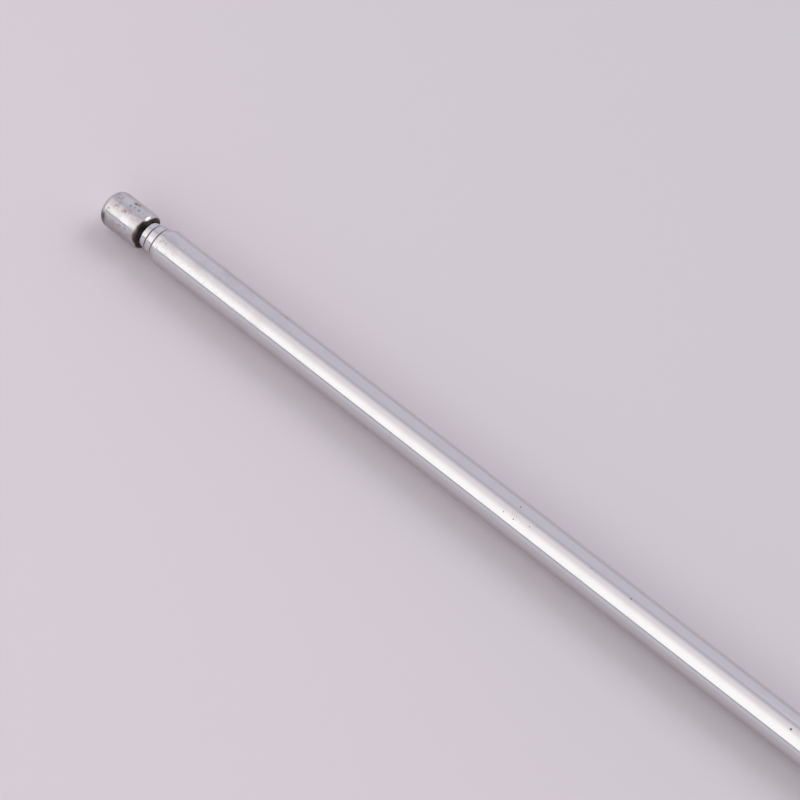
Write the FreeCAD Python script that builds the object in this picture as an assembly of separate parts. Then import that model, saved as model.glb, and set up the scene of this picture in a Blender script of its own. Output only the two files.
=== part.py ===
"""Collapsed telescopic antenna: nested swaged tubes, a tip rod with its button, and a base plug.

The axis is +X, from the base plug's outer face at the origin towards the button. Millimetres.
Sections are numbered from the outside: 0 is the outer tube and the last is the solid tip rod.
"""
import FreeCAD, Part
import math
import os

# Section names, from the outside in
TUBE_NAMES = ["outer", "second", "third", "fourth", "fifth", "sixth"]
ROD_NAME = "tip"

# Radial sizes: everything grows outwards from the rod
ROD_DIAMETER = 1.50
WALLS = [0.30, 0.22, 0.25, 0.25, 0.23, 0.20]
# Room between each tube's bore and the section inside it
PLAYS = [0.38, 0.14, 0.23, 0.20, 0.18, 0.17]

# Lengths along the axis
OUTER_TUBE_LENGTH = 176.8
# How far each mouth stands out past the mouth of the tube around it when collapsed
MOUTH_STEPS = [1.68, 2.10, 0.35, 0.30, 0.25]

# The swaged mouth
SWAGE_ANGLE = math.radians(21.0)
SWAGE_BEND_RADIUS = 1.2
MOUTH_LAND = 0.40
MOUTH_LIP = 0.15
MOUTH_EDGE_ROUND = 0.06

# The tail of a sliding section: a flange, a rolled neck and the shoes in it
TAIL_FLANGE = 0.60
NECK_DEPTH = 0.10
NECK_SLOPE_LENGTH = 0.25
SHOE_LENGTH = 5.0
SHOE_SPLIT = 0.30

# Clearances
SLIDE_CLEARANCE = 0.03
SHOE_END_PLAY = 0.05
STOP_GAP = 0.10
ASSEMBLY_CLEARANCE = 0.01

# The base plug
PLUG_FLANGE = 1.0
PLUG_LENGTH = 8.0
PLUG_CHAMFER = 0.30
THREAD_HOLE_DIAMETER = 2.50
THREAD_HOLE_DEPTH = 5.0
DRILL_POINT_ANGLE = math.radians(59.0)

# The tip button
BUTTON_OVERHANG = 0.0
BUTTON_LENGTH = 9.38
BUTTON_TOP_ROUND = 2.0
BUTTON_CROWN_RADIUS = 12.0
BUTTON_RIM_ROUND = 0.90
BUTTON_STANDOFF = 1.42
BUTTON_RECESS_ROOM = 0.12
BUTTON_RECESS_FLOOR_GAP = 0.10
ROD_SEAT_DEPTH = 4.5

AXIS = FreeCAD.Vector(1, 0, 0)
ORIGIN = FreeCAD.Vector(0, 0, 0)

# Outer radius of every section, worked out from the rod outwards
RADII = [ROD_DIAMETER / 2]
for wall, play in zip(reversed(WALLS), reversed(PLAYS)):
    RADII.insert(0, RADII[0] + play + wall)
BORES = [radius - wall for radius, wall in zip(RADII, WALLS)]
MOUTH_BORES = [inner + SLIDE_CLEARANCE for inner in RADII[1:]]


def point(x, r):
    """A point of a turned outline: x along the axis, r away from it."""
    return FreeCAD.Vector(x, 0, r)


def line(start, end):
    return Part.LineSegment(start, end).toShape()


def arc(start, middle, end):
    return Part.Arc(start, middle, end).toShape()


def chain(points):
    """Straight edges through the points."""
    return [line(a, b) for a, b in zip(points, points[1:])]


def turned(edges):
    """The solid that an outline makes when it is turned about the axis."""
    face = Part.Face(Part.Wire(edges))
    solid = face.revolve(ORIGIN, AXIS, 360)
    if solid.ShapeType != "Solid":
        solid = solid.Solids[0]
    if solid.Volume < 0:
        solid.reverse()
    return solid


def on_circle(centre, radius, angle):
    """A point at an angle from the axis, on a circle centred on the axis."""
    return point(centre + radius * math.cos(angle), radius * math.sin(angle))


def round_corner(before, corner, after, radius):
    """The arc that rounds a corner: its start, middle and end."""
    towards_before = (before - corner).normalize()
    towards_after = (after - corner).normalize()
    half = towards_before.getAngle(towards_after) / 2
    reach = radius / math.tan(half)
    bisector = (towards_before + towards_after).normalize()
    centre = corner + bisector * (radius / math.sin(half))
    middle = centre - bisector * radius
    return corner + towards_before * reach, middle, corner + towards_after * reach


def shoe_tail(section):
    """Where the lower end of a section's shoes lies when the antenna is collapsed."""
    if section == 1:
        return PLUG_LENGTH + STOP_GAP + TAIL_FLANGE + NECK_SLOPE_LENGTH + SHOE_END_PLAY
    return neck_top(section - 1) + NECK_SLOPE_LENGTH + STOP_GAP


def neck_bottom(section):
    return shoe_tail(section) - SHOE_END_PLAY


def neck_top(section):
    return shoe_tail(section) + SHOE_LENGTH + SHOE_END_PLAY


def tail(section):
    return neck_bottom(section) - NECK_SLOPE_LENGTH - TAIL_FLANGE


def mouth(section):
    """Where a tube's mouth lies when the antenna is collapsed."""
    return PLUG_FLANGE + OUTER_TUBE_LENGTH + sum(MOUTH_STEPS[:section])


def stop_face(section):
    """Where the bore of a tube starts to close: the shoes of the next section stop short of it."""
    closing = BORES[section] - MOUTH_BORES[section]
    return mouth(section) - MOUTH_LAND - closing / math.tan(SWAGE_ANGLE)


def travel(section):
    """How far a section slides out of the tube around it."""
    return stop_face(section - 1) - STOP_GAP - (shoe_tail(section) + SHOE_LENGTH)


def tube_shape(section):
    """A tube with its mouth swaged in and, on a sliding section, a neck rolled into its tail."""
    outside = RADII[section]
    inside = BORES[section]
    end = mouth(section)
    lip = MOUTH_BORES[section] + MOUTH_LIP
    swage_start = end - (outside - lip) / math.tan(SWAGE_ANGLE)

    if section == 0:
        start = PLUG_FLANGE
        outer_tail = [point(start, outside)]
        inner_tail = [point(start, inside)]
    else:
        start = tail(section)
        low = neck_bottom(section)
        high = neck_top(section)
        steps = [
            (start, 0.0),
            (low - NECK_SLOPE_LENGTH, 0.0),
            (low, NECK_DEPTH),
            (high, NECK_DEPTH),
            (high + NECK_SLOPE_LENGTH, 0.0),
        ]
        outer_tail = [point(x, outside - depth) for x, depth in steps]
        inner_tail = [point(x, inside - depth) for x, depth in steps]

    corner = point(swage_start, outside)
    lip_corner = point(end, lip)
    bend = round_corner(outer_tail[-1], corner, lip_corner, SWAGE_BEND_RADIUS)
    edge = round_corner(corner, lip_corner, point(end, MOUTH_BORES[section]), MOUTH_EDGE_ROUND)

    edges = chain(outer_tail + [bend[0]])
    edges.append(arc(*bend))
    edges.append(line(bend[2], edge[0]))
    edges.append(arc(*edge))
    back = [
        edge[2],
        point(end, MOUTH_BORES[section]),
        point(end - MOUTH_LAND, MOUTH_BORES[section]),
        point(stop_face(section), inside),
    ]
    edges += chain(back + inner_tail[::-1] + [outer_tail[0]])
    return turned(edges)


def rod_end():
    """Where the rod ends, inside the button."""
    return recess_floor() + ROD_SEAT_DEPTH


def rod_shape():
    """The solid tip rod, with the same neck at its tail as the tubes have."""
    last = len(RADII) - 1
    radius = RADII[last]
    low = neck_bottom(last)
    high = neck_top(last)
    outline = [
        point(tail(last), 0),
        point(tail(last), radius),
        point(low - NECK_SLOPE_LENGTH, radius),
        point(low, radius - NECK_DEPTH),
        point(high, radius - NECK_DEPTH),
        point(high + NECK_SLOPE_LENGTH, radius),
        point(rod_end(), radius),
        point(rod_end(), 0),
    ]
    return turned(chain(outline + [outline[0]]))


def shoe_shapes(section):
    """The two half shells in a section's neck, one on each side of the split."""
    inside = RADII[section] - NECK_DEPTH + SLIDE_CLEARANCE
    outside = BORES[section - 1] - SLIDE_CLEARANCE
    low = shoe_tail(section)
    high = low + SHOE_LENGTH
    outline = [
        point(low, inside),
        point(low, outside),
        point(high, outside),
        point(high, inside),
    ]
    ring = turned(chain(outline + [outline[0]]))
    width = 4 * outside
    halves = []
    for side in (1, -1):
        near = SHOE_SPLIT / 2 if side > 0 else -SHOE_SPLIT / 2 - width
        corner = FreeCAD.Vector(low - SHOE_LENGTH, near, -width / 2)
        halves.append(ring.common(Part.makeBox(3 * SHOE_LENGTH, width, width, corner)).Solids[0])
    return halves


def plug_shape():
    """The turned plug that closes the outer tube, with a tapped blind hole for the fixing screw."""
    flange = RADII[0]
    body = BORES[0] - ASSEMBLY_CLEARANCE
    hole = THREAD_HOLE_DIAMETER / 2
    outline = [
        point(0, hole),
        point(0, flange - PLUG_CHAMFER),
        point(PLUG_CHAMFER, flange),
        point(PLUG_FLANGE - ASSEMBLY_CLEARANCE, flange),
        point(PLUG_FLANGE - ASSEMBLY_CLEARANCE, body),
        point(PLUG_LENGTH - PLUG_CHAMFER, body),
        point(PLUG_LENGTH, body - PLUG_CHAMFER),
        point(PLUG_LENGTH, 0),
        point(THREAD_HOLE_DEPTH + hole / math.tan(DRILL_POINT_ANGLE), 0),
        point(THREAD_HOLE_DEPTH, hole),
    ]
    return turned(chain(outline + [outline[0]]))


def button_underside():
    """The button's lower face, which stands off the second tube's mouth."""
    return mouth(1) + BUTTON_STANDOFF


def recess_floor():
    return mouth(len(TUBE_NAMES) - 1) + BUTTON_RECESS_FLOOR_GAP


def button_shape():
    """The turned button: domed top, rounded rim, and a recess below for the inner mouths."""
    radius = RADII[0] + BUTTON_OVERHANG
    low = button_underside()
    high = low + BUTTON_LENGTH
    recess = RADII[2] + BUTTON_RECESS_ROOM
    seat = RADII[-1] + ASSEMBLY_CLEARANCE
    floor = recess_floor()
    seat_end = rod_end() + ASSEMBLY_CLEARANCE

    rim_round = min(BUTTON_RIM_ROUND, 0.98 * (radius - recess))
    rim = round_corner(point(low, recess), point(low, radius), point(high, radius), rim_round)

    # The crown is a shallow cap centred on the axis, and the shoulder runs into it and into the side
    crown_centre = high - BUTTON_CROWN_RADIUS
    crown_angle = math.asin((radius - BUTTON_TOP_ROUND) / (BUTTON_CROWN_RADIUS - BUTTON_TOP_ROUND))
    shoulder_centre = crown_centre + (BUTTON_CROWN_RADIUS - BUTTON_TOP_ROUND) * math.cos(crown_angle)
    shoulder_start = point(shoulder_centre, radius)
    shoulder_turn = (math.pi / 2 + crown_angle) / 2
    shoulder_middle = point(
        shoulder_centre + BUTTON_TOP_ROUND * math.cos(shoulder_turn),
        radius - BUTTON_TOP_ROUND + BUTTON_TOP_ROUND * math.sin(shoulder_turn))
    shoulder_end = on_circle(crown_centre, BUTTON_CROWN_RADIUS, crown_angle)
    crown_middle = on_circle(crown_centre, BUTTON_CROWN_RADIUS, crown_angle / 2)

    edges = [line(point(low, recess), rim[0])]
    edges.append(arc(*rim))
    edges.append(line(rim[2], shoulder_start))
    edges.append(arc(shoulder_start, shoulder_middle, shoulder_end))
    edges.append(arc(shoulder_end, crown_middle, point(high, 0)))
    inner = [
        point(high, 0),
        point(seat_end, 0),
        point(seat_end, seat),
        point(floor, seat),
        point(floor, recess),
        point(low, recess),
    ]
    edges += chain(inner)
    return turned(edges)


def build():
    """Every piece by its node name."""
    pieces = {"base_plug": plug_shape()}
    for section, name in enumerate(TUBE_NAMES):
        pieces[name + "_tube"] = tube_shape(section)
    pieces["tip_rod"] = rod_shape()
    pieces["tip_button"] = button_shape()
    sliding = TUBE_NAMES[1:] + [ROD_NAME]
    for section, name in enumerate(sliding, start=1):
        left, right = shoe_shapes(section)
        pieces[name + "_left_shoe"] = left
        pieces[name + "_right_shoe"] = right
    return pieces


def main():
    os.makedirs("parts", exist_ok=True)
    for name, shape in build().items():
        shape.exportStep(os.path.join("parts", name + ".step"))
        box = shape.BoundBox
        print("%-18s valid %s  volume %9.3f mm3  x %8.3f to %8.3f  radius %6.3f"
              % (name, shape.isValid(), shape.Volume, box.XMin, box.XMax, box.ZMax))
    for section in range(1, len(RADII)):
        print("section %d slides %.3f mm" % (section, travel(section)))
    print("collapsed length %.3f mm" % (button_underside() + BUTTON_LENGTH))


main()
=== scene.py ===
"""The looks of a collapsed telescopic antenna: nested nickel-plated tubes and a worn pull button.

The antenna lies along +X, from its tapped base plug at the origin to its button. Metres.
"""

import math

import bpy
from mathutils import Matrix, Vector


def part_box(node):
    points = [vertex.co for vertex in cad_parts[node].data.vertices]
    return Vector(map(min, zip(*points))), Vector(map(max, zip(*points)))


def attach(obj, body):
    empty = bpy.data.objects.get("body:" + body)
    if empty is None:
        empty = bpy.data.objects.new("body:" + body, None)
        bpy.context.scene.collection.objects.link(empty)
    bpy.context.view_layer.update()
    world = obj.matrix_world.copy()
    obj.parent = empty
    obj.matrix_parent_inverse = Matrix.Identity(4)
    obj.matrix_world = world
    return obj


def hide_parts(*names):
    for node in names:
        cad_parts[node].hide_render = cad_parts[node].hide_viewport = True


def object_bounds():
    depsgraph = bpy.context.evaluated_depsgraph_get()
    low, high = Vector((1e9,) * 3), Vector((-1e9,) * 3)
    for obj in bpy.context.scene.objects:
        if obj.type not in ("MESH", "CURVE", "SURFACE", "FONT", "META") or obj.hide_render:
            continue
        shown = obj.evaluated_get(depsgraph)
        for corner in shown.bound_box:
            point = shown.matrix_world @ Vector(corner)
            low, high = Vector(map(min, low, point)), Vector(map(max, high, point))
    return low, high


bl_info = {
    "name": "Telescopic antenna",
    "version": (1, 0, 0),
    "blender": (4, 5, 0),
    "location": "View3D > Sidebar > Antenna",
    "description": "Builds the plated tubes, the pull button and the base plug of a telescopic antenna",
    "category": "Add Mesh",
}

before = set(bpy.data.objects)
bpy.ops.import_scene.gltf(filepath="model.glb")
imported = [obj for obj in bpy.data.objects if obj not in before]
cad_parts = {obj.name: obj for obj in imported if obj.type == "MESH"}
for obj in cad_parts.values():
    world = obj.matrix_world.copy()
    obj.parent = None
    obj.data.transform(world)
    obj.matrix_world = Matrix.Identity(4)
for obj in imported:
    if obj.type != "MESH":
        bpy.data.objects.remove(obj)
CAD_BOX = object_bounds()

MM = 0.001
SMALLEST = 1e-6

# The circle that outlines are swept along, and the angle past which an edge is shaded sharp
SPINE = 1.0 * MM
SHARP_ANGLE = math.radians(40.0)

# The tubes from the outside in, and the body that each rides on
TUBES = ["outer", "second", "third", "fourth", "fifth", "sixth"]
TUBE_BODIES = {name: name + "_section" for name in TUBES}
SLIDING = TUBES[1:] + ["tip"]

# Their walls, in the same order, in millimetres
WALLS = [0.30, 0.22, 0.25, 0.25, 0.23, 0.20]


def edge(node, side):
    """The x of a node's lower (0) or upper (1) end."""
    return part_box(node)[side].x


def radius_of(node):
    """A turned node's largest radius."""
    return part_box(node)[1].z


# Sizes and finishes that a user would change


def length(name, description, default_mm):
    return bpy.props.FloatProperty(
        name=name, description=description, default=default_mm * MM, min=0.0,
        precision=5, subtype="DISTANCE", unit="LENGTH")


def colour(name, description, default):
    return bpy.props.FloatVectorProperty(
        name=name, description=description, default=default, min=0.0, max=1.0,
        size=3, subtype="COLOR")


def angle(name, description, default_degrees):
    return bpy.props.FloatProperty(
        name=name, description=description, default=math.radians(default_degrees),
        subtype="ANGLE", unit="ROTATION")


class AntennaSizes(bpy.types.PropertyGroup):
    """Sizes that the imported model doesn't give by itself."""
    swage_angle: angle("Swage angle", "Slope of each swaged mouth", 21.0)
    swage_bend: length("Swage bend", "Radius where a tube bends into its mouth", 1.2)
    mouth_lip: length("Mouth lip", "Wall left at a tube's mouth", 0.15)
    mouth_land: length("Mouth land", "Straight length of a mouth's bore", 0.40)
    slide_clearance: length("Slide clearance", "Room between a mouth and its section", 0.03)
    edge_round: length("Edge round", "Rounding of sharp edges", 0.05)
    neck_depth: length("Neck depth", "Depth of the neck rolled into a tail", 0.10)
    neck_slope: length("Neck slope", "Length of the slope into a neck", 0.25)
    tail_flange: length("Tail flange", "Length of the flange below a neck", 0.60)
    shoe_play: length("Shoe play", "End play of the shoes in a neck", 0.05)
    button_top_round: length("Button top round", "Rounding of the button's upper edge", 2.0)
    button_crown: length("Button crown", "Radius of the button's domed top", 12.0)
    button_rim_round: length("Button rim round", "Rounding of the button's lower rim", 0.90)
    recess_room: length("Recess room", "Room around the third tube in the button", 0.12)
    recess_gap: length("Recess gap", "Gap between the innermost mouth and the button", 0.10)
    plug_flange: length("Plug flange", "Thickness of the base plug's flange", 1.0)
    plug_chamfer: length("Plug chamfer", "Chamfer of the base plug's edges", 0.30)
    thread_radius: length("Thread radius", "Radius at the bottom of the base thread", 1.50)
    thread_crest: length("Thread crest", "Radius at the crest of the base thread", 1.25)
    thread_pitch: length("Thread pitch", "Pitch of the base thread", 0.50)
    thread_depth: length("Thread depth", "Depth of the tapped hole", 5.0)
    pit_depth: length("Pit depth", "Depth of the corrosion pits in the button", 0.05)
    segments: bpy.props.IntProperty(
        name="Segments", description="Facets around a turned piece", default=160, min=24, max=512)
    round_steps: bpy.props.IntProperty(
        name="Round steps", description="Facets across a rounded edge", default=7, min=2, max=32)
    seed: bpy.props.IntProperty(
        name="Seed", description="Which random scatter of pits the button gets", default=4, min=0)


class AntennaFinishes(bpy.types.PropertyGroup):
    """Colours of the antenna's metals and of the stage."""
    nickel: colour("Nickel", "Bright nickel plate", (0.635, 0.62, 0.622))
    haze: colour("Haze", "Duller plate", (0.50, 0.475, 0.47))
    # Tarnish, and also the brown end of the painted shade under the button
    tarnish_and_shade: colour("Tarnish", "Brown tarnish near the mouth and on the button", (0.30, 0.22, 0.17))
    pit: colour("Pit", "Corrosion pits through the plate", (0.060, 0.048, 0.043))
    # Dirt, and also painted shade in the gaps at the tubes' mouths and a painted reflection of the
    # shaded floor on the button's shoulder
    dirt_and_shade: colour("Dirt", "Dirt on the lips of the tubes", (0.11, 0.095, 0.095))
    # Black tarnish with painted shade under the button
    underside: colour("Underside", "Black tarnish under the button", (0.042, 0.031, 0.028))
    brass: colour("Brass", "Turned brass of the base plug", (0.72, 0.52, 0.26))
    bronze: colour("Bronze", "Spring bronze of the shoes", (0.62, 0.38, 0.20))
    floor: colour("Floor", "Plain pale floor", (0.605, 0.578, 0.607))
    # Painted light: the floor's lighter side, as if lit more from one side
    floor_painted_light: colour("Paler floor", "The floor beside the button", (0.735, 0.677, 0.72))
    backdrop: colour("Backdrop", "What the camera sees past the floor", (0.60, 0.565, 0.60))
    sky: colour("Sky", "Cool side of the studio", (0.72, 0.70, 0.80))
    panel: colour("Panel", "White panel of the studio", (1.0, 1.0, 1.0))
    warm: colour("Warm", "Upper part of the white panel", (1.0, 0.92, 0.89))


# One wrapper for sums on sockets, and one method that makes any node


class Value:
    """A socket that can be used in a sum; each sum adds its Math node."""

    def __init__(self, tree, socket):
        self.tree = tree
        self.socket = socket

    def __add__(self, other):
        return self.tree.sum("ADD", self, other)

    def __sub__(self, other):
        return self.tree.sum("SUBTRACT", self, other)

    def __mul__(self, other):
        return self.tree.sum("MULTIPLY", self, other)

    def __truediv__(self, other):
        return self.tree.sum("DIVIDE", self, other)

    def __radd__(self, other):
        return self.tree.sum("ADD", other, self)

    def __rsub__(self, other):
        return self.tree.sum("SUBTRACT", other, self)

    def __rmul__(self, other):
        return self.tree.sum("MULTIPLY", other, self)

    def __rtruediv__(self, other):
        return self.tree.sum("DIVIDE", other, self)

    def __neg__(self):
        return self.tree.sum("MULTIPLY", self, -1.0)


class Tree:
    """A node tree, in which one method makes every node."""

    def __init__(self, tree):
        self.tree = tree
        tree.nodes.clear()

    def make(self, kind, settings=None, inputs=None, output=0):
        """A node of that type: its settings are set first, then its sockets; returns one output."""
        node = self.tree.nodes.new(kind)
        for name, value in (settings or {}).items():
            if name == "items":
                while len(node.index_switch_items) < value:
                    node.index_switch_items.new()
            else:
                setattr(node, name, value)
        for name, value in (inputs or {}).items():
            self.feed(node.inputs[name], value)
        if not node.outputs:
            return node
        return Value(self, node.outputs[output])

    def feed(self, socket, value):
        if isinstance(value, Value):
            self.tree.links.new(value.socket, socket)
        else:
            socket.default_value = value

    def sum(self, operation, *terms):
        inputs = dict(enumerate(terms))
        return self.make("ShaderNodeMath", {"operation": operation}, inputs)

    def smooth(self, value, low, high):
        """0 below low and 1 above high, with a soft step between."""
        inputs = {"Value": value, "From Min": low, "From Max": high}
        return self.make("ShaderNodeMapRange", {"interpolation_type": "SMOOTHSTEP"}, inputs)

    def vector(self, operation, *terms, output=0):
        inputs = dict(enumerate(terms))
        return self.make("ShaderNodeVectorMath", {"operation": operation}, inputs, output)

    def distance(self, first, second):
        return self.vector("DISTANCE", first, second, output="Value")

    def parts(self, vector):
        """The x, y and z of a vector."""
        x = self.make("ShaderNodeSeparateXYZ", None, {0: vector})
        outputs = x.socket.node.outputs
        return [Value(self, socket) for socket in outputs]

    def mix(self, factor, first, second):
        """A colour between two colours."""
        settings = {"data_type": "RGBA", "clamp_factor": True}
        return self.make("ShaderNodeMix", settings, {0: factor, 6: first, 7: second}, output=2)

    def noise(self, vector, scale, detail=3.0, roughness=0.5):
        inputs = {"Vector": vector, "Scale": scale, "Detail": detail, "Roughness": roughness}
        return self.make("ShaderNodeTexNoise", None, inputs)


def rgba(rgb):
    return (*rgb, 1.0)


def scatter(tree, place, scale, low, high):
    """Random cells: how far a place is from its cell's centre, and 1 in the few that are picked.

    Each cell draws a number, and is picked above high and left out below low.
    """
    cells = tree.make("ShaderNodeTexVoronoi", None, {"Vector": place, "Scale": scale})
    draw = Value(tree, cells.socket.node.outputs["Color"])
    return cells, tree.smooth(tree.parts(draw)[0], low, high)


# Turned pieces: an outline of corners, rounded and swept about the axis


def open_group(name, sizes):
    """A new tree with a float input for each size; returns it and its inputs by name."""
    group = bpy.data.node_groups.new(name, "GeometryNodeTree")
    tree = Tree(group)
    for size in sizes:
        group.interface.new_socket(size, in_out="INPUT", socket_type="NodeSocketFloat")
    for count in ("Segments", "Round steps", "Seed"):
        group.interface.new_socket(count, in_out="INPUT", socket_type="NodeSocketInt")
    group.interface.new_socket("Material", in_out="INPUT", socket_type="NodeSocketMaterial")
    group.interface.new_socket("Geometry", in_out="OUTPUT", socket_type="NodeSocketGeometry")
    inputs = tree.make("NodeGroupInput").socket.node
    return group, tree, {socket.name: Value(tree, socket) for socket in inputs.outputs if socket.name}


def outline(tree, points, closed):
    """A curve through the points, each a pair of sums with the rounding of its corner."""
    index = tree.make("GeometryNodeInputIndex")
    places = {"Index": index}
    rounds = {"Index": index}
    for number, (across, along, rounding) in enumerate(points, start=1):
        places[number] = tree.make("ShaderNodeCombineXYZ", None, {0: across, 1: along, 2: 0.0})
        rounds[number] = rounding
    count = len(points)
    line = tree.make("GeometryNodeMeshLine", None, {"Count": count})
    place = tree.make(
        "GeometryNodeIndexSwitch", {"data_type": "VECTOR", "items": count}, places)
    rounding = tree.make(
        "GeometryNodeIndexSwitch", {"data_type": "FLOAT", "items": count}, rounds)
    placed = tree.make("GeometryNodeSetPosition", None, {"Geometry": line, "Position": place})
    curve = tree.make("GeometryNodeMeshToCurve", None, {0: placed})
    if closed:
        curve = tree.make("GeometryNodeSetSplineCyclic", None, {"Geometry": curve, "Cyclic": True})
    return curve, rounding


def turned_tree(name, sizes, corners, closed=True, after=None):
    """A tree with one named input for each size, which turns the outline that the corners give."""
    group, tree, given = open_group(name, sizes)
    # The outline's first axis points outwards from the spine, its second back along the antenna
    points = [(r - SPINE, -x, rounding) for x, r, rounding in corners(tree, given)]
    curve, rounding = outline(tree, points, closed)
    rounded = tree.make(
        "GeometryNodeFilletCurve", {"mode": "POLY"},
        {"Curve": curve, "Count": given["Round steps"], "Radius": rounding, "Limit Radius": True})
    circle = tree.make(
        "GeometryNodeCurvePrimitiveCircle", None,
        {"Resolution": given["Segments"], "Radius": SPINE})
    upright = tree.make("GeometryNodeSetCurveNormal", {"mode": "Z_UP"}, {"Curve": circle})
    swept = tree.make(
        "GeometryNodeCurveToMesh", None, {"Curve": upright, "Profile Curve": rounded})
    turned = tree.make(
        "GeometryNodeTransform", None,
        {"Geometry": swept, "Rotation": (0.0, math.pi / 2, 0.0)})
    facing = tree.make("GeometryNodeFlipFaces", None, {0: turned})
    joined = tree.make(
        "GeometryNodeMergeByDistance", None, {"Geometry": facing, "Distance": SMALLEST / 2})
    if after:
        joined = after(tree, given, joined)
    finish_tree(tree, joined, given["Material"])
    return group


def finish_tree(tree, geometry, material):
    """Smooths, realizes and gives the material, as every tree ends."""
    smoothed = tree.make(
        "GeometryNodeSetShadeSmooth", None, {"Geometry": geometry, "Shade Smooth": True})
    real = tree.make("GeometryNodeRealizeInstances", None, {"Geometry": smoothed})
    painted = tree.make(
        "GeometryNodeSetMaterial", None, {"Geometry": real, "Material": material})
    tree.make("NodeGroupOutput", None, {"Geometry": painted})


def store(tree, geometry, name, value):
    """Keeps a value on the mesh's points, for its material to read."""
    return tree.make(
        "GeometryNodeStoreNamedAttribute", {"data_type": "FLOAT", "domain": "POINT"},
        {"Geometry": geometry, "Name": name, "Value": value})


def grown(name, group, values):
    """The plain mesh object that a tree makes from its named values."""
    seed = bpy.data.objects.new(name + "_seed", bpy.data.meshes.new(name + "_seed"))
    bpy.context.collection.objects.link(seed)
    modifier = seed.modifiers.new("grow", "NODES")
    modifier.node_group = group
    for socket in group.interface.items_tree:
        if socket.in_out == "INPUT" and socket.name in values:
            modifier[socket.identifier] = values[socket.name]
    graph = bpy.context.evaluated_depsgraph_get()
    mesh = bpy.data.meshes.new_from_object(seed.evaluated_get(graph), depsgraph=graph)
    bpy.data.objects.remove(seed)
    if not mesh.polygons:
        raise RuntimeError(name + " came out empty")
    mesh.set_sharp_from_angle(angle=SHARP_ANGLE)
    mesh.name = name
    piece = bpy.data.objects.new(name, mesh)
    bpy.context.collection.objects.link(piece)
    return piece


def settle(piece, body, node=None):
    """Rides the piece on its body and puts it in place of its node."""
    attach(piece, body)
    if node:
        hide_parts(node)


# Outlines, each a list of corners: place along the axis, radius, rounding


def tube_corners(tree, size):
    outside = size["Radius"]
    inside = outside - size["Wall"]
    neck_out = outside - size["Neck depth"]
    neck_in = inside - size["Neck depth"]
    tail = size["Tail"]
    low = tail + size["Flange"]
    low_neck = low + size["Slope"]
    high_neck = size["Neck top"]
    high = high_neck + size["Slope"]
    mouth = size["Mouth"]
    bore = size["Mouth bore"]
    lip = bore + size["Lip"]
    fall = size["Swage fall"]
    start = mouth - (outside - lip) * fall
    stop = mouth - size["Land"] - (inside - bore) * fall
    tip = size["Edge"]
    bend = size["Bend"]
    # Rows beside each rounded edge keep the long faces' shading flat
    row = 3.0 * tip
    return [
        (tail, outside, tip),
        (low, outside, tip),
        (low_neck, neck_out, tip),
        (high_neck, neck_out, tip),
        (high, outside, tip),
        (high + row, outside, 0.0),
        (start - bend * 0.4, outside, 0.0),
        (start, outside, bend),
        (start + bend * 0.3, outside - bend * 0.3 / fall, 0.0),
        (mouth - row, lip + row / fall, 0.0),
        (mouth, lip, tip),
        (mouth, bore, tip * 0.5),
        (mouth - size["Land"], bore, tip),
        (stop, inside, tip),
        (stop - row, inside, 0.0),
        (high + row, inside, 0.0),
        (high, inside, tip),
        (high_neck, neck_in, tip),
        (low_neck, neck_in, tip),
        (low, inside, tip),
        (tail, inside, tip),
    ]


TUBE_SIZES = [
    "Radius", "Wall", "Tail", "Flange", "Slope", "Neck top", "Neck depth", "Mouth",
    "Mouth bore", "Lip", "Land", "Swage fall", "Bend", "Edge", "Collar"]


def mark_tube(tree, size, geometry):
    """Keeps how far each point is from its own mouth, and from the mouth around it."""
    x = tree.parts(tree.make("GeometryNodeInputPosition"))[0]
    marked = store(tree, geometry, "from_mouth", size["Mouth"] - x)
    return store(tree, marked, "from_collar", x - size["Collar"])


def rod_corners(tree, size):
    radius = size["Radius"]
    neck = radius - size["Neck depth"]
    tail = size["Tail"]
    low = tail + size["Flange"]
    high = size["Neck top"] + size["Slope"]
    tip = size["Edge"]
    end = size["End"]
    row = 3.0 * tip
    return [
        (tail, 0.0, 0.0),
        (tail, radius, tip),
        (low, radius, tip),
        (low + size["Slope"], neck, tip),
        (size["Neck top"], neck, tip),
        (high, radius, tip),
        (high + row, radius, 0.0),
        (end - row, radius, 0.0),
        (end, radius, tip),
        (end, 0.0, 0.0),
    ]


ROD_SIZES = ["Radius", "Tail", "Flange", "Slope", "Neck top", "Neck depth", "End", "Edge"]


class AntennaOperator:
    """What every step shares."""
    bl_options = {"REGISTER"}

    @property
    def sizes(self):
        return bpy.context.scene.antenna_sizes

    @property
    def finishes(self):
        return bpy.context.scene.antenna_finishes


def neck_top(name, sizes):
    """Where the neck of a sliding section ends, just past its shoes."""
    return edge(name + "_left_shoe", 1) + sizes.shoe_play


def section_node(name):
    return "tip_rod" if name == "tip" else name + "_tube"


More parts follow.
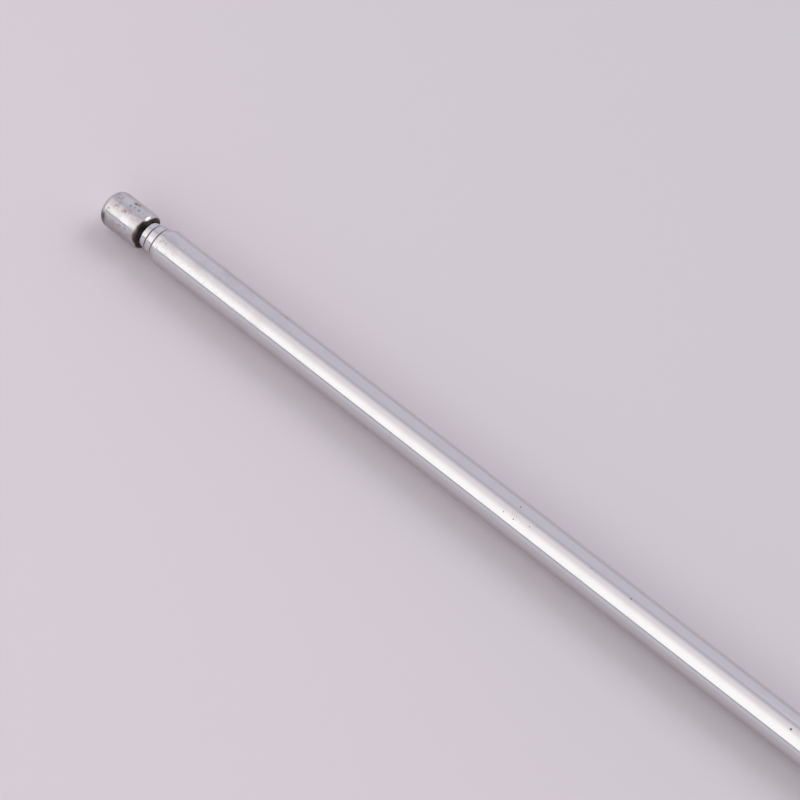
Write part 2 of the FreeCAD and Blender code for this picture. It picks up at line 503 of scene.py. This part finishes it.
class BuildTubes(AntennaOperator, bpy.types.Operator):
    """Turns the six plated tubes, each with its swaged mouth and rolled neck"""
    bl_idname = "antenna.build_tubes"
    bl_label = "Build Tubes"

    def execute(self, context):
        sizes = self.sizes
        plate = plating(self.finishes)
        group = turned_tree("swaged_tube", TUBE_SIZES, tube_corners, after=mark_tube)
        for number, name in enumerate(TUBES):
            node = section_node(name)
            inner = section_node(SLIDING[number])
            sliding = name != "outer"
            tail = edge(node, 0)
            values = {
                "Radius": radius_of(node),
                "Wall": WALLS[number] * MM,
                "Tail": tail,
                "Flange": sizes.tail_flange,
                "Slope": sizes.neck_slope,
                # The outer tube has no neck, so those corners lie flat in its wall near its tail
                "Neck top": neck_top(name, sizes) if sliding else tail + 6 * sizes.tail_flange,
                "Neck depth": sizes.neck_depth if sliding else 0.0,
                "Mouth": edge(node, 1),
                "Mouth bore": radius_of(inner) + sizes.slide_clearance,
                "Lip": sizes.mouth_lip,
                "Land": sizes.mouth_land,
                "Swage fall": 1.0 / math.tan(sizes.swage_angle),
                "Bend": sizes.swage_bend,
                "Edge": sizes.edge_round,
                "Collar": edge(section_node(TUBES[number - 1]), 1) if sliding else 1.0,
                "Segments": sizes.segments,
                "Round steps": sizes.round_steps,
                "Material": plate,
            }
            tube = grown(name + "_tube_plated", group, values)
            settle(tube, TUBE_BODIES[name], node)
        return {"FINISHED"}


class BuildRod(AntennaOperator, bpy.types.Operator):
    """Turns the solid tip rod"""
    bl_idname = "antenna.build_rod"
    bl_label = "Build Rod"

    def execute(self, context):
        sizes = self.sizes
        group = turned_tree("tip_rod_turned", ROD_SIZES, rod_corners, closed=False)
        values = {
            "Radius": radius_of("tip_rod"),
            "Tail": edge("tip_rod", 0),
            "Flange": sizes.tail_flange,
            "Slope": sizes.neck_slope,
            "Neck top": neck_top("tip", sizes),
            "Neck depth": sizes.neck_depth,
            "End": edge("tip_rod", 1),
            "Edge": sizes.edge_round,
            "Segments": sizes.segments,
            "Round steps": sizes.round_steps,
            "Material": plating(self.finishes),
        }
        rod = grown("tip_rod_plated", group, values)
        settle(rod, "tip_section", "tip_rod")
        return {"FINISHED"}


# The button's rows and facets are finer than the other pieces', for its pits
SIDE_ROWS = 44
CROWN_ROWS = 8
BUTTON_SEGMENTS = 288
BUTTON_ROUND_STEPS = 22


def button_corners(tree, size):
    low = size["Underside"]
    high = size["Top"]
    radius = size["Radius"]
    rim = size["Rim round"]
    top = size["Top round"]
    crown = size["Crown radius"]
    recess = size["Recess radius"]
    floor = size["Recess floor"]
    tip = size["Edge"]

    # The domed top is part of a ball centred on the axis, and its shoulder runs into it smoothly
    lean = tree.sum("ARCSINE", (radius - top) / (crown - top))
    centre = high - crown
    shoulder = centre + (crown - top) * tree.sum("COSINE", lean)
    reach = top * tree.sum("TANGENT", (math.pi / 2 - lean) * 0.5)
    # Rows fill the side between the two rounded edges
    side_low = low + rim * 1.25
    side_high = shoulder - top * 0.1
    side = []
    for row in range(SIDE_ROWS + 1):
        side.append((side_low + (side_high - side_low) * (row / SIDE_ROWS), radius, 0.0))
    dome = []
    for row in range(CROWN_ROWS, 0, -1):
        slope = lean * (row / CROWN_ROWS)
        x = centre + crown * tree.sum("COSINE", slope)
        dome.append((x, crown * tree.sum("SINE", slope), 0.0))
    return [
        (size["Seat end"], 0.0, 0.0),
        (size["Seat end"], size["Seat radius"], 0.0),
        (floor, size["Seat radius"], tip * 0.5),
        (floor, recess, tip),
        (low + 3.0 * tip, recess, 0.0),
        (low, recess, tip * 0.4),
        (low, radius, rim),
        *side,
        (shoulder + reach, radius, top),
        *dome,
        (high, 0.0, 0.0),
    ]


BUTTON_SIZES = [
    "Underside", "Top", "Radius", "Rim round", "Top round", "Crown radius", "Recess radius",
    "Recess floor", "Seat radius", "Seat end", "Edge", "Pit depth"]

# The pits that the photograph shows: millimetres from the underside, degrees about the axis, radius
# in millimetres, and how deep and dark against the deepest
PITS = [
    (3.8, 123.5, 0.36, 0.9),
    (4.3, 119.5, 0.42, 1.0),
    (4.55, 100.5, 0.29, 0.85),
    (3.75, 104.0, 0.24, 0.55),
    (2.8, 104.0, 0.27, 0.75),
    (4.45, 77.5, 0.30, 0.55),
    (7.45, 54.0, 0.24, 0.45),
    (6.75, 70.5, 0.30, 0.25),
    (7.8, 106.0, 0.42, 0.35),
    (7.4, 97.0, 0.34, 0.30),
    (2.7, 36.0, 0.50, 0.20),
]


def pit_button(tree, size, geometry):
    """Sinks the corrosion pits into the button and keeps where they are."""
    place = tree.make("GeometryNodeInputPosition")
    warp = tree.noise(place, 2600.0, detail=2.0) - 0.5
    seed = size["Seed"] * 17.0
    shifted = tree.vector("ADD", place, tree.make("ShaderNodeCombineXYZ", None, {0: seed}))
    # Only some cells hold a pit, half as deep as the deepest of the listed ones
    cells, picked = scatter(tree, shifted, 640.0, 0.80, 0.90)
    pit = (1.0 - tree.smooth(cells + warp * 0.25, 0.10, 0.20)) * picked * 0.5
    for along, turn, radius, depth in PITS:
        centre = tree.make("ShaderNodeCombineXYZ", None, {
            0: size["Underside"] + along * MM,
            1: size["Radius"] * math.cos(math.radians(turn)),
            2: size["Radius"] * math.sin(math.radians(turn))})
        away = tree.distance(place, centre) / (radius * MM)
        here = 1.0 - tree.smooth(away + warp * 1.6, 0.45, 1.15)
        pit = tree.sum("MAXIMUM", pit, here * depth)
    # The recess inside has none
    x, y, z = tree.parts(place)
    reach = tree.sum("SQRT", y * y + z * z) / size["Radius"]
    pit = pit * tree.smooth(reach, 0.81, 0.91)
    pitted = store(tree, geometry, "pit", pit)
    marked = store(tree, pitted, "from_rim", x - size["Underside"])
    normal = tree.make("GeometryNodeInputNormal")
    inwards = tree.vector("SCALE", normal)
    tree.feed(inwards.socket.node.inputs["Scale"], pit * size["Pit depth"] * -1.0)
    return tree.make("GeometryNodeSetPosition", None, {"Geometry": marked, "Offset": inwards})


class BuildButton(AntennaOperator, bpy.types.Operator):
    """Turns the pull button, with its domed top and the recess for the inner mouths"""
    bl_idname = "antenna.build_button"
    bl_label = "Build Button"

    def execute(self, context):
        sizes = self.sizes
        radius = radius_of("tip_button")
        recess = radius_of("third_tube") + sizes.recess_room
        values = {
            "Underside": edge("tip_button", 0),
            "Top": edge("tip_button", 1),
            "Radius": radius,
            "Rim round": min(sizes.button_rim_round, radius - recess - 0.5 * sizes.edge_round),
            "Top round": sizes.button_top_round,
            "Crown radius": sizes.button_crown,
            "Recess radius": recess,
            "Recess floor": edge("sixth_tube", 1) + sizes.recess_gap,
            "Seat radius": radius_of("tip_rod"),
            "Seat end": edge("tip_rod", 1),
            "Edge": sizes.edge_round,
            "Pit depth": sizes.pit_depth,
            "Segments": BUTTON_SEGMENTS,
            "Round steps": BUTTON_ROUND_STEPS,
            "Seed": sizes.seed,
            "Material": worn_nickel(self.finishes),
        }
        group = turned_tree(
            "pull_button", BUTTON_SIZES, button_corners, closed=False, after=pit_button)
        button = grown("tip_button_plated", group, values)
        settle(button, "tip_section", "tip_button")
        return {"FINISHED"}


def plug_corners(tree, size):
    radius = size["Radius"]
    body = size["Body radius"]
    flange = size["Flange"]
    end = size["End"]
    chamfer = size["Chamfer"]
    thread = size["Thread radius"]
    depth = size["Thread depth"]
    tip = size["Edge"]
    return [
        (depth + thread * 0.6, 0.0, 0.0),
        (depth, thread, tip),
        (0.0, thread, tip),
        (0.0, radius - chamfer, tip),
        (chamfer, radius, tip),
        (flange, radius, tip * 0.5),
        (flange, body, tip * 0.5),
        (end - chamfer, body, tip),
        (end, body - chamfer, tip),
        (end, 0.0, 0.0),
    ]


PLUG_SIZES = [
    "Radius", "Body radius", "Flange", "End", "Chamfer", "Thread radius", "Thread depth", "Edge"]

THREAD_SIZES = ["Root radius", "Crest radius", "Pitch", "Depth"]
THREAD_STEPS = 64


def thread_tree():
    """A tree that winds the ridge of an inside thread along the axis."""
    group, tree, given = open_group("inside_thread", THREAD_SIZES)
    root = given["Root radius"]
    pitch = given["Pitch"]
    height = root - given["Crest radius"]
    turns = given["Depth"] / pitch - 1.0
    spiral = tree.make(
        "GeometryNodeCurveSpiral", None,
        {"Resolution": THREAD_STEPS, "Rotations": turns, "Start Radius": root,
         "End Radius": root, "Height": turns * pitch})
    upright = tree.make("GeometryNodeSetCurveNormal", {"mode": "Z_UP"}, {"Curve": spiral})
    # The ridge is a flat-topped V, whose foot lies a little inside the wall
    corners = [
        (height * -0.08, pitch * -0.46, 0.0),
        (height, pitch * -0.06, 0.0),
        (height, pitch * 0.06, 0.0),
        (height * -0.08, pitch * 0.46, 0.0),
    ]
    ridge, _ = outline(tree, corners, closed=True)
    wound = tree.make(
        "GeometryNodeCurveToMesh", None,
        {"Curve": upright, "Profile Curve": ridge, "Fill Caps": True})
    start = tree.make("ShaderNodeCombineXYZ", None, {0: pitch * 0.5, 1: 0.0, 2: 0.0})
    turned = tree.make(
        "GeometryNodeTransform", None,
        {"Geometry": wound, "Translation": start, "Rotation": (0.0, math.pi / 2, 0.0)})
    finish_tree(tree, turned, given["Material"])
    return group


class BuildPlug(AntennaOperator, bpy.types.Operator):
    """Turns the brass base plug and winds the thread in its hole"""
    bl_idname = "antenna.build_plug"
    bl_label = "Build Base Plug"

    def execute(self, context):
        sizes = self.sizes
        brass = turned_brass(self.finishes)
        values = {
            "Radius": radius_of("base_plug"),
            "Body radius": radius_of("outer_tube") - WALLS[0] * MM,
            "Flange": sizes.plug_flange,
            "End": edge("base_plug", 1),
            "Chamfer": sizes.plug_chamfer,
            "Thread radius": sizes.thread_radius,
            "Thread depth": sizes.thread_depth,
            "Edge": sizes.edge_round,
            "Segments": sizes.segments,
            "Round steps": sizes.round_steps,
            "Material": brass,
        }
        group = turned_tree("base_plug_turned", PLUG_SIZES, plug_corners, closed=False)
        plug = grown("base_plug_turned", group, values)
        settle(plug, "outer_section", "base_plug")
        thread = {
            "Root radius": sizes.thread_radius,
            "Crest radius": sizes.thread_crest,
            "Pitch": sizes.thread_pitch,
            "Depth": sizes.thread_depth,
            "Material": brass,
        }
        ridge = grown("base_plug_thread", thread_tree(), thread)
        settle(ridge, "outer_section")
        return {"FINISHED"}


class DressShoes(AntennaOperator, bpy.types.Operator):
    """Gives the friction shoes their bronze"""
    bl_idname = "antenna.dress_shoes"
    bl_label = "Dress Shoes"

    def execute(self, context):
        bronze = rolled_bronze(self.finishes)
        for name in SLIDING:
            for side in ("_left_shoe", "_right_shoe"):
                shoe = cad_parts[name + side]
                for place in shoe.material_slots:
                    place.material = bronze
        return {"FINISHED"}


# Metals


def new_metal(name):
    """A material with its shader, and the position that its patterns read."""
    material = bpy.data.materials.new(name)
    material.use_nodes = True
    tree = Tree(material.node_tree)
    place = tree.make("ShaderNodeTexCoord", output="Object")
    return material, tree, place


def finish_metal(tree, base, roughness, bump, bump_height):
    """The one shader that every metal ends in."""
    normal = tree.make(
        "ShaderNodeBump", None,
        {"Strength": 1.0, "Distance": bump_height, "Height": bump})
    shader = tree.make(
        "ShaderNodeBsdfPrincipled", None,
        {"Base Color": base, "Metallic": 1.0, "Roughness": roughness, "Normal": normal})
    tree.make("ShaderNodeOutputMaterial", None, {"Surface": shader})


def around(tree, place):
    """A place's x, the y and z of the way it lies from the axis, and how far from it."""
    x, y, z = tree.parts(place)
    reach = tree.sum("SQRT", y * y + z * z) + SMALLEST
    return x, y / reach, z / reach, reach


def turned_to(facing_y, facing_z, turn):
    """How far a surface faces one way about the axis: 1 right towards it, -1 away from it."""
    return facing_y * math.cos(turn) + facing_z * math.sin(turn)


def on_outer_tube(back, turn):
    """A place on the outer tube, in millimetres back from its mouth and degrees about the axis."""
    radius = radius_of("outer_tube")
    turn = math.radians(turn)
    return edge("outer_tube", 1) - back * MM, radius * math.cos(turn), radius * math.sin(turn)


def kept(tree, name):
    """A value that the piece's own tree kept on its points."""
    return tree.make("ShaderNodeAttribute", {"attribute_name": name}, output="Fac")


# How far from the outer tube's mouth fingers dull the plate
HANDLED_LENGTH = 45.0 * MM

# The side of the mouths, about the axis, where the dirt and the painted shade in the gaps are heaviest
DIRT_AND_SHADE_TURN = math.radians(60.0)

# A brown stain by the outer tube's mouth: millimetres from the mouth, degrees about the axis
STAIN = (1.75, 74.0)
STAIN_RADIUS = 0.75 * MM

# Small marks in the outer tube's plate, placed in the same way, each with its radius in millimetres
MARKS = [
    (81.7, 103.4, 0.16),
    (80.1, 63.0, 0.12),
    (82.2, 63.0, 0.13),
    (85.2, 74.0, 0.10),
    (97.7, 88.7, 0.10),
    (106.1, 88.7, 0.16),
]

# Fine scratches beside those marks, and how far each moves along the tube as it crosses it
SCRATCHES = (81.92, 73.0)
SCRATCH_REACH = 1.05 * MM
SCRATCH_GAP = 0.43 * MM
SCRATCH_LEAN = 0.44


def specks(tree, place):
    """1 at specks of dirt and pin pits, a few at random and the marks of the outer tube."""
    cells, picked = scatter(tree, place, 420.0, 0.955, 0.975)
    speck = (1.0 - tree.smooth(cells, 0.05, 0.12)) * picked
    for back, turn, radius in MARKS:
        away = tree.distance(place, on_outer_tube(back, turn)) / (radius * MM)
        speck = tree.sum("MAXIMUM", speck, 1.0 - tree.smooth(away, 0.5, 1.2))
    return speck


def scratches(tree, place, x, facing_y, facing_z):
    """1 on fine scratches that lie side by side, leaning across the outer tube."""
    centre = on_outer_tube(*SCRATCHES)
    away = tree.distance(place, centre) / SCRATCH_REACH
    across = turned_to(facing_y, facing_z, math.radians(SCRATCHES[1] + 90.0))
    leaning = x - centre[0] - across * (SCRATCH_LEAN * radius_of("outer_tube"))
    rows = tree.sum("COSINE", leaning * (2 * math.pi / SCRATCH_GAP))
    return tree.smooth(rows, 0.55, 0.95) * (1.0 - tree.smooth(away, 0.55, 1.0))


def plating(finishes):
    """The one plate of the tubes and the rod, made by whichever of them comes first."""
    return bpy.data.materials.get("drawn_nickel") or drawn_nickel(finishes)


def drawn_nickel(finishes):
    """Nickel plate over drawn tube: fine lines along it, haze, specks, and dirty mouths with painted
    shade in their gaps.
    """
    material, tree, place = new_metal("drawn_nickel")
    x, facing_y, facing_z, _ = around(tree, place)

    # Drawing lines run along the tube, so they change fast around it and slowly along it
    line_place = tree.make(
        "ShaderNodeCombineXYZ", None,
        {0: x * 30.0, 1: facing_y * 40.0, 2: facing_z * 40.0})
    lines = tree.noise(line_place, 1.0, detail=4.0, roughness=0.6)
    cloud = tree.noise(place, 260.0, detail=4.0)
    grain = tree.noise(place, 1600.0, detail=3.0)
    waves = tree.noise(place, 60.0, detail=1.0)
    # The plate is duller near the mouth, where fingers reach it
    handled = tree.smooth(x, edge("outer_tube", 1) - HANDLED_LENGTH, edge("outer_tube", 1))
    dull = tree.smooth(cloud, 0.46, 0.72) + tree.smooth(grain, 0.50, 0.75) * 0.7
    haze = dull * (0.10 + handled * 0.40)
    speck = specks(tree, place)

    # Painted shade in the gap at each lip, and where a section comes out of the mouth around it, with
    # some dirt
    lip = 1.0 - tree.smooth(kept(tree, "from_mouth"), 0.09 * MM, 0.16 * MM)
    collar = tree.sum("ABSOLUTE", kept(tree, "from_collar") - 0.08 * MM)
    ring = 1.0 - tree.smooth(collar, 0.10 * MM, 0.18 * MM)
    upper = tree.smooth(turned_to(facing_y, facing_z, DIRT_AND_SHADE_TURN), 0.3, 0.95)
    dirt_and_shade = tree.sum("MAXIMUM", lip, ring) * (0.40 + upper * 0.25 + cloud * 0.6)

    # The brown stain is a patch of small spots
    away = tree.distance(place, on_outer_tube(*STAIN)) / STAIN_RADIUS
    stain = (1.0 - tree.smooth(away, 0.5, 1.3)) * tree.smooth(grain, 0.44, 0.58) * 0.5
    scratch = scratches(tree, place, x, facing_y, facing_z)
    brown = tree.sum("MAXIMUM", stain, scratch * 0.25)

    base = tree.mix(haze, rgba(finishes.nickel), rgba(finishes.haze))
    stained = tree.mix(brown, base, rgba(finishes.tarnish_and_shade))
    marked = tree.mix(tree.sum("MAXIMUM", speck * 0.85, dirt_and_shade), stained, rgba(finishes.dirt_and_shade))
    roughness = 0.08 + handled * 0.03 + lines * 0.05 + haze * 0.25 + speck * 0.3 + dirt_and_shade * 0.3
    bump = lines * 0.12 + waves - speck * 0.8
    finish_metal(tree, marked, roughness, bump, 0.004 * MM)
    return material


# The sides of the button, about the axis, where the tarnish and painted shade underneath reach
# furthest, and where the grime and painted floor reflection are heaviest
TARNISH_AND_SHADE_TURN = math.radians(52.0)
GRIME_AND_REFLECTION_TURN = math.radians(5.0)


def worn_nickel(finishes):
    """Nickel plate worn by fingers: cloudy, tarnished in patches, pitted, black and tarnished
    underneath with painted shade, and with a painted reflection of the shaded floor on its low
    shoulder.
    """
    material, tree, place = new_metal("worn_nickel")
    pit = kept(tree, "pit")
    _, facing_y, facing_z, _ = around(tree, place)

    # Black tarnish and painted shade creep up from the underside, furthest on one side
    from_rim = kept(tree, "from_rim") / MM
    wander = tree.noise(place, 800.0, detail=3.0) - 0.5
    patch = turned_to(facing_y, facing_z, TARNISH_AND_SHADE_TURN)
    reach = 0.18 + tree.smooth(patch, 0.66, 0.96) * 0.68
    under = 1.0 - tree.smooth(from_rim / reach + wander * 0.7, 0.70, 1.45)

    # A painted reflection of the shaded floor, with some brown grime, sits on the shoulder on the side
    # that lies nearest the floor
    low_side = turned_to(facing_y, facing_z, GRIME_AND_REFLECTION_TURN)
    shoulder = tree.smooth(from_rim, 6.9, 7.7) * (1.0 - tree.smooth(from_rim, 8.7, 9.2))
    grime_and_reflection = tree.smooth(low_side + wander * 0.15, 0.80, 0.96) * (shoulder * 0.75 + 0.22)

    cloud = tree.noise(place, 420.0, detail=5.0, roughness=0.6)
    broad = tree.noise(place, 190.0, detail=2.0)
    haze = tree.smooth(cloud * 0.6 + broad * 0.5, 0.49, 0.65)
    blotch = tree.smooth(tree.noise(place, 750.0, detail=4.0), 0.56, 0.68)
    base = tree.mix(haze * 0.54 + 0.04, rgba(finishes.nickel), rgba(finishes.haze))
    stained = tree.mix(blotch * 0.42, base, rgba(finishes.tarnish_and_shade))
    with_grime_and_reflection = tree.mix(grime_and_reflection, stained, rgba(finishes.dirt_and_shade))
    pitted = tree.mix(pit * 0.80, with_grime_and_reflection, rgba(finishes.pit))
    # The black turns brown towards the rim's outer side
    browner = tree.smooth(from_rim, 0.15, 0.80) * 0.22
    black = tree.mix(browner, rgba(finishes.underside), rgba(finishes.tarnish_and_shade))
    blackened = tree.mix(under * 0.96, pitted, black)
    roughness = 0.13 + haze * 0.10 + blotch * 0.12 + pit * 0.3 + under * 0.2
    bump = cloud * 0.6 - blotch * 0.5
    finish_metal(tree, blackened, roughness, bump, 0.01 * MM)
    return material


def turned_brass(finishes):
    """Plain brass with the fine rings that a lathe tool leaves."""
    material, tree, place = new_metal("turned_brass")
    x, _, _, reach = around(tree, place)
    rings = tree.sum("SINE", (x + reach) * (2 * math.pi / (0.12 * MM)))
    cloud = tree.noise(place, 500.0)
    base = tree.mix(cloud * 0.5, rgba(finishes.brass), rgba([c * 0.7 for c in finishes.brass]))
    finish_metal(tree, base, 0.24 + cloud * 0.12, rings * 0.5 + cloud, 0.004 * MM)
    return material


def rolled_bronze(finishes):
    """Spring bronze, dull, with rolling streaks along it."""
    material, tree, place = new_metal("rolled_bronze")
    x, y, z = tree.parts(place)
    streak_place = tree.make("ShaderNodeCombineXYZ", None, {0: x * 0.1, 1: y, 2: z})
    streaks = tree.noise(streak_place, 2500.0)
    cloud = tree.noise(place, 500.0)
    dull = rgba([c * 0.6 for c in finishes.bronze])
    base = tree.mix(cloud * 0.7, rgba(finishes.bronze), dull)
    finish_metal(tree, base, 0.32 + streaks * 0.15, streaks, 0.005 * MM)
    return material


# The stage

CAMERA_AZIMUTH = math.radians(222.06)
CAMERA_ELEVATION = math.radians(59.06)
PHOTO_SIZE = 800.0
FOCAL_PIXELS = 3312.0
SENSOR_WIDTH = 36.0
# The outer tube's mouth in the photograph, and how far in front of the camera it lies
MOUTH_PIXEL = (161.1, 243.6)
CAMERA_DEPTH = 574.2 * MM
CAMERA_CLIP = (0.01, 20.0)

# The floor's half size, where across it its plain colour meets its painted light, and how far out the
# painted light fades into one colour
FLOOR_HALF = 6.0
FLOOR_FADE = (-0.12, 0.20)
FLOOR_CLOSE = (0.2, 0.8)

# The soft lamp behind the camera's right shoulder
LAMP_DIRECTION = (-0.25, -0.70, 0.66)
LAMP_DISTANCE = 0.9
LAMP_SIZE = 0.42
LAMP_ENERGY = 1.8

# The studio's plain level, what the white panel adds, and how far its darker parts dim it
LIGHT_LEVEL = 1.08
PANEL_GAIN = 0.43
SEAM_DIM = 0.80
STRIP_DIM = 0.15
SHADE_DIM = 0.92


class SetStage(AntennaOperator, bpy.types.Operator):
    """Lays the floor, and sets the camera, the lamp and the studio's light"""
    bl_idname = "antenna.set_stage"
    bl_label = "Set Stage"

    def execute(self, context):
        self.lay_floor()
        self.set_camera(context.scene)
        self.set_lamp()
        self.set_world(context.scene)
        context.scene.view_settings.view_transform = "Standard"
        return {"FINISHED"}

    def lay_floor(self):
        low = CAD_BOX[0].z
        half = FLOOR_HALF
        mesh = bpy.data.meshes.new("floor")
        corners = [(-half, -half, low), (half, -half, low), (half, half, low), (-half, half, low)]
        mesh.from_pydata(corners, [], [(0, 1, 2, 3)])
        floor = bpy.data.objects.new("floor", mesh)
        bpy.context.collection.objects.link(floor)
        material = bpy.data.materials.new("pale_floor")
        material.use_nodes = True
        tree = Tree(material.node_tree)
        # Painted light: close by, the floor is painted a little lighter towards one side, as if lit
        # more from there, and far off it is all one colour
        place = tree.make("ShaderNodeTexCoord", output="Object")
        x, y, _ = tree.parts(place)
        slope = tree.smooth(y + x * 0.5, *FLOOR_FADE)
        close = 1.0 - tree.smooth(tree.distance(place, (0.1, 0.0, low)), *FLOOR_CLOSE)
        painted_light = (slope - 0.5) * close + 0.5
        base = tree.mix(painted_light, rgba(self.finishes.floor), rgba(self.finishes.floor_painted_light))
        shader = tree.make(
            "ShaderNodeBsdfPrincipled", None, {"Base Color": base, "Roughness": 0.6})
        tree.make("ShaderNodeOutputMaterial", None, {"Surface": shader})
        mesh.materials.append(material)

    def set_camera(self, scene):
        turn, rise = CAMERA_AZIMUTH, CAMERA_ELEVATION
        right = Vector((math.cos(turn), math.sin(turn), 0.0))
        back = Vector((
            math.sin(turn) * math.cos(rise), -math.cos(turn) * math.cos(rise), math.sin(rise)))
        up = back.cross(right)
        mouth = Vector((edge("outer_tube", 1), 0.0, 0.0))
        across = (MOUTH_PIXEL[0] - PHOTO_SIZE / 2) / FOCAL_PIXELS * CAMERA_DEPTH
        above = (PHOTO_SIZE / 2 - MOUTH_PIXEL[1]) / FOCAL_PIXELS * CAMERA_DEPTH
        data = bpy.data.cameras.new("camera")
        data.sensor_width = SENSOR_WIDTH
        data.lens = FOCAL_PIXELS / PHOTO_SIZE * SENSOR_WIDTH
        data.clip_start, data.clip_end = CAMERA_CLIP
        camera = bpy.data.objects.new("camera", data)
        bpy.context.collection.objects.link(camera)
        camera.location = mouth + back * CAMERA_DEPTH - right * across - up * above
        camera.rotation_mode = "QUATERNION"
        camera.rotation_quaternion = (-back).to_track_quat("-Z", "Y")
        scene.camera = camera

    def set_lamp(self):
        data = bpy.data.lights.new("key_lamp", "AREA")
        data.shape = "RECTANGLE"
        data.size = LAMP_SIZE
        data.size_y = LAMP_SIZE
        data.energy = LAMP_ENERGY
        lamp = bpy.data.objects.new("key_lamp", data)
        bpy.context.collection.objects.link(lamp)
        towards = Vector(LAMP_DIRECTION).normalized()
        lamp.location = Vector((edge("outer_tube", 1), 0.0, 0.0)) + towards * LAMP_DISTANCE
        lamp.rotation_mode = "QUATERNION"
        lamp.rotation_quaternion = (-towards).to_track_quat("-Z", "Y")

    def set_world(self, scene):
        """A studio that is white to one side, cool to the other, and dark in one part between."""
        world = bpy.data.worlds.new("studio")
        world.use_nodes = True
        tree = Tree(world.node_tree)
        direction = tree.make("ShaderNodeTexCoord", output="Generated")
        x, y, z = tree.parts(direction)

        # The white panel fades out past the zenith in two soft steps
        across = tree.sum("MAXIMUM", y - x * 0.65 + 0.44, y + x * 0.32 + 0.01)
        near_top = tree.smooth(across, -0.15, 0.27)
        far_side = tree.smooth(across, 0.30, 0.85)
        fade = near_top * 0.5 + far_side * 0.5
        # A slightly darker strip runs along its upper edge
        strip = tree.smooth(across, -0.34, -0.16) * (1.0 - tree.smooth(across, -0.12, 0.06))
        # Its lower edge is straight and hard beside the tube, and reaches the floor past the tip
        height = z - y * 0.302 - x * 0.312
        past_tip = tree.smooth(x - y, 0.0, 0.35)
        above = tree.sum("MAXIMUM", tree.smooth(height, 0.0, 0.012), past_tip)
        white = fade * above
        seam = tree.smooth(height, -0.08, -0.045) * (1.0 - above)

        tint = tree.mix(far_side, rgba(self.finishes.warm), rgba(self.finishes.panel))
        glow = tree.mix(white, rgba(self.finishes.sky), tint)
        # One part of the room is dark, between the two sides
        behind = 1.0 - tree.smooth(x, -0.04, 0.10)
        beside = 1.0 - tree.smooth(tree.sum("ABSOLUTE", y - 0.16), 0.34, 0.60)
        shade = behind * beside
        level = LIGHT_LEVEL + white * PANEL_GAIN - seam * SEAM_DIM - strip * STRIP_DIM
        strength = level * (1.0 - shade * SHADE_DIM)
        light = tree.make("ShaderNodeBackground", None, {"Color": glow, "Strength": strength})
        # The camera itself sees a backdrop as pale as the floor
        backdrop = tree.make("ShaderNodeBackground", None, {"Color": rgba(self.finishes.backdrop)})
        seen = tree.make("ShaderNodeLightPath", output="Is Camera Ray")
        mixed = tree.make("ShaderNodeMixShader", None, {0: seen, 1: light, 2: backdrop})
        tree.make("ShaderNodeOutputWorld", None, {"Surface": mixed})
        scene.world = world


class AntennaPanel(bpy.types.Panel):
    """Lists the steps, the sizes and the finishes"""
    bl_idname = "VIEW3D_PT_antenna"
    bl_label = "Telescopic Antenna"
    bl_space_type = "VIEW_3D"
    bl_region_type = "UI"
    bl_category = "Antenna"

    def draw(self, context):
        layout = self.layout
        for step in STEPS:
            layout.operator(step.bl_idname)
        for group in (context.scene.antenna_sizes, context.scene.antenna_finishes):
            box = layout.box()
            for name in group.__annotations__:
                box.prop(group, name)


STEPS = [BuildTubes, BuildRod, BuildButton, BuildPlug, DressShoes, SetStage]
CLASSES = [AntennaSizes, AntennaFinishes, *STEPS, AntennaPanel]


def register():
    for cls in CLASSES:
        bpy.utils.register_class(cls)
    bpy.types.Scene.antenna_sizes = bpy.props.PointerProperty(type=AntennaSizes)
    bpy.types.Scene.antenna_finishes = bpy.props.PointerProperty(type=AntennaFinishes)


def unregister():
    del bpy.types.Scene.antenna_finishes
    del bpy.types.Scene.antenna_sizes
    for cls in reversed(CLASSES):
        bpy.utils.unregister_class(cls)


def main():
    register()
    for step in STEPS:
        family, name = step.bl_idname.split(".")
        getattr(getattr(bpy.ops, family), name)()


if __name__ == "__main__":
    main()
